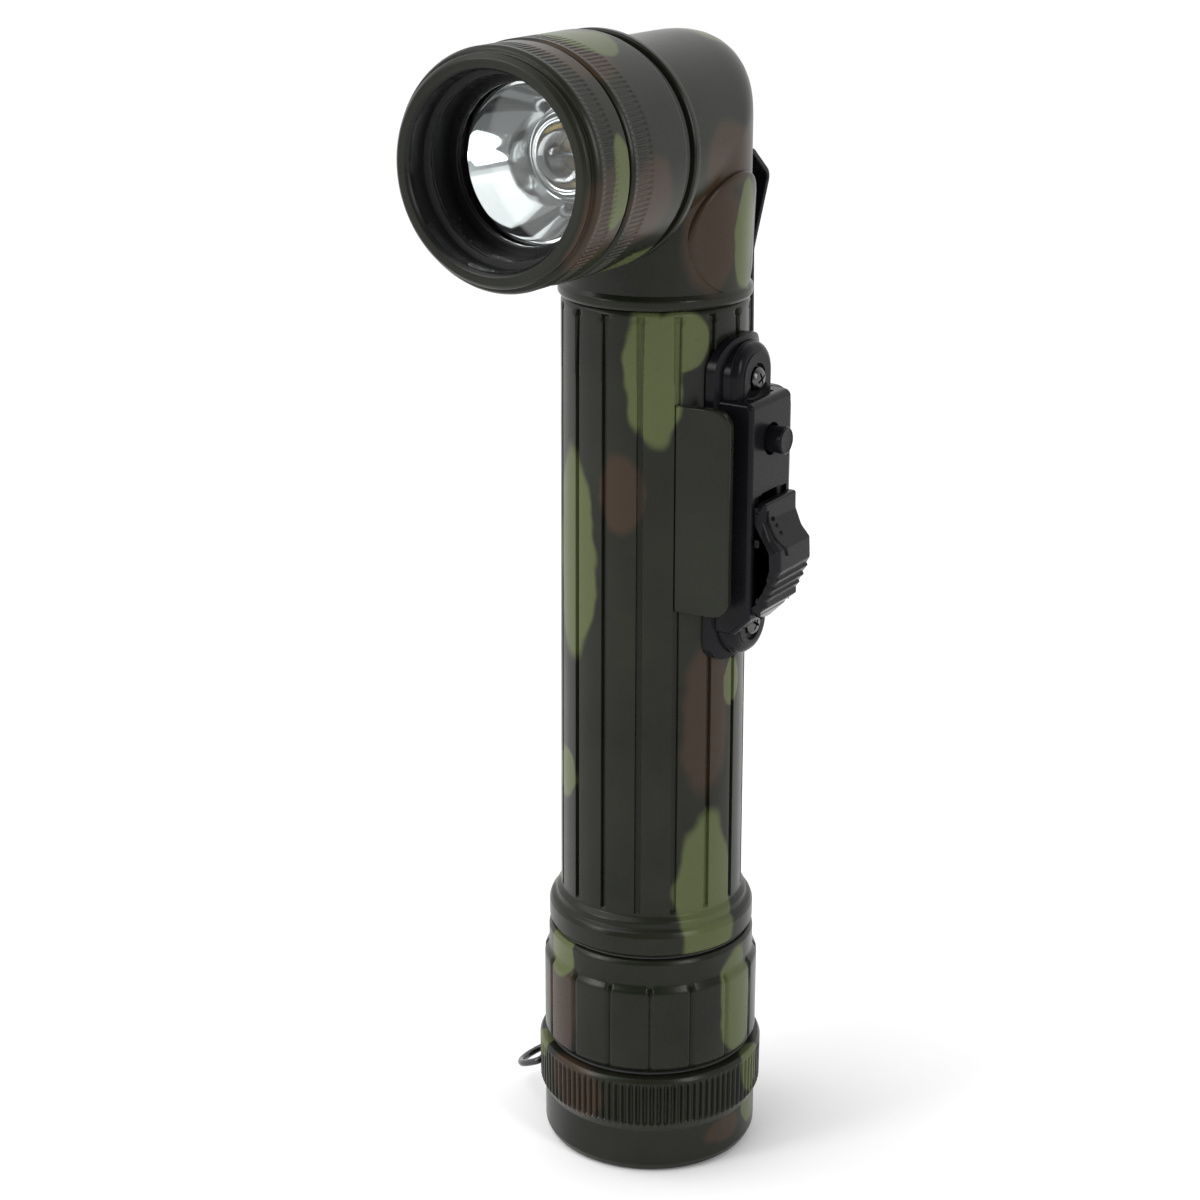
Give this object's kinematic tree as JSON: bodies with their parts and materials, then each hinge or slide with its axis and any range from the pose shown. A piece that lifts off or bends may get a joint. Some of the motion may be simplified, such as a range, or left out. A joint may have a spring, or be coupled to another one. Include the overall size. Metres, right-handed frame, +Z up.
{
  "type": "tactical flashlight",
  "caption": "Camouflage angle-head flashlight with screw-on lens and filter rings, slide switch with guards, belt clip and screw-on tail caps with a lanyard ring.",
  "frame": {"origin": "centre of the flat tail face of the storage cap", "axes": "+Z up along the barrel, lens facing -Y, slide switch on +X, belt clip on +Y, lanyard ring on -X"},
  "size_m": [0.0464, 0.06, 0.1671],
  "materials": {
    "camo_plastic": "satin moulded plastic with olive, lime green and brown blotches",
    "black_plastic": "black, half gloss",
    "black_steel": "black oxide spring steel",
    "dark_steel": "dark blued steel",
    "spring_steel": "bright spring wire",
    "brass_contact": "plain brass strip",
    "black_rubber": "matt",
    "reflector_metal": "mirror coating",
    "clear_window": "clear, polished",
    "bulb_glass": "clear",
    "cell_can": "plain printed sleeve without any text",
    "red_filter": "clear red plastic",
    "blue_filter": "clear blue plastic",
    "diffuser_filter": "milky plastic"
  },
  "bodies": {
    "housing": {"barrel": "camo_plastic", "elbow_housing": "camo_plastic", "belt_clip": "black_steel", "clip_rivet_lower": "dark_steel", "clip_rivet_upper": "dark_steel", "switch_base": "black_plastic", "switch_frame": "black_plastic", "screw_upper": "dark_steel", "screw_lower": "dark_steel", "switch_leaf": "brass_contact", "ground_strip": "brass_contact", "cell_lower": "cell_can", "cell_upper": "cell_can", "head_contact": "brass_contact", "bulb_holder": "black_plastic", "bulb_base": "brass_contact", "bulb_glass": "bulb_glass", "bulb_filament": "spring_steel", "button_spring": "spring_steel"},
    "head_seal": {"head_gasket": "black_rubber"},
    "lens_ring": {"lens_ring": "camo_plastic", "lens_gasket": "black_rubber", "lens_window": "clear_window", "reflector": "reflector_metal"},
    "filter_seal": {"filter_gasket": "black_rubber"},
    "filter_ring": {"filter_ring": "camo_plastic"},
    "tail_seal": {"tail_gasket": "black_rubber"},
    "tail_cap": {"tail_cap": "camo_plastic", "tail_spring_plate": "brass_contact", "tail_spring": "spring_steel", "spare_bulb_holder": "black_rubber", "spare_bulb_base": "brass_contact", "spare_bulb_glass": "bulb_glass"},
    "storage_seal": {"storage_gasket": "black_rubber"},
    "storage_cap": {"storage_cap": "camo_plastic", "filter_red": "red_filter", "filter_blue": "blue_filter", "filter_diffuser": "diffuser_filter"},
    "lanyard_ring": {"d_ring": "dark_steel"},
    "slider": {"slider": "black_plastic", "slider_contact": "brass_contact"},
    "button": {"signal_button": "black_plastic"}
  },
  "joints": [
    {"name": "lens_ring_travel", "type": "slide", "parent": "housing", "child": "head_seal", "axis": [0, -1, 0], "range_m": [0, 0.00451]},
    {"name": "lens_ring_turn", "type": "hinge", "parent": "head_seal", "child": "lens_ring", "pos_m": [0, 0, 0.1516], "axis": [0, -1, 0], "range_deg": [0, 1080]},
    {"name": "filter_ring_travel", "type": "slide", "parent": "lens_ring", "child": "filter_seal", "axis": [0, -1, 0], "range_m": [0, 0.00301]},
    {"name": "filter_ring_turn", "type": "hinge", "parent": "filter_seal", "child": "filter_ring", "pos_m": [0, 0, 0.1516], "axis": [0, -1, 0], "range_deg": [0, 720]},
    {"name": "tail_cap_travel", "type": "slide", "parent": "housing", "child": "tail_seal", "axis": [0, 0, -1], "range_m": [0, 0.00451]},
    {"name": "tail_cap_turn", "type": "hinge", "parent": "tail_seal", "child": "tail_cap", "pos_m": [0, 0, 0], "axis": [0, 0, -1], "range_deg": [0, 1080]},
    {"name": "storage_cap_travel", "type": "slide", "parent": "tail_cap", "child": "storage_seal", "axis": [0, 0, -1], "range_m": [0, 0.00451]},
    {"name": "storage_cap_turn", "type": "hinge", "parent": "storage_seal", "child": "storage_cap", "pos_m": [0, 0, 0], "axis": [0, 0, -1], "range_deg": [0, 1080]},
    {"name": "lanyard_ring_swing", "type": "hinge", "parent": "storage_cap", "child": "lanyard_ring", "pos_m": [-0.0174, 0, 0.007], "axis": [0, 1, 0], "range_deg": [-40, 105]},
    {"name": "slider_travel", "type": "slide", "parent": "housing", "child": "slider", "axis": [0, 0, 1], "range_m": [0, 0.004]},
    {"name": "button_press", "type": "slide", "parent": "housing", "child": "button", "axis": [-1, 0, 0], "range_m": [0, 0.0009], "stiffness_N_per_m": 700, "springref_m": -0.0004, "deforming": ["button_spring"]}
  ],
  "couplings": [
    {"joint": "lens_ring_travel", "follows": "lens_ring_turn", "m_per_rad": 0.00023873},
    {"joint": "filter_ring_travel", "follows": "filter_ring_turn", "m_per_rad": 0.00023873},
    {"joint": "tail_cap_travel", "follows": "tail_cap_turn", "m_per_rad": 0.00023873},
    {"joint": "storage_cap_travel", "follows": "storage_cap_turn", "m_per_rad": 0.00023873}
  ]
}
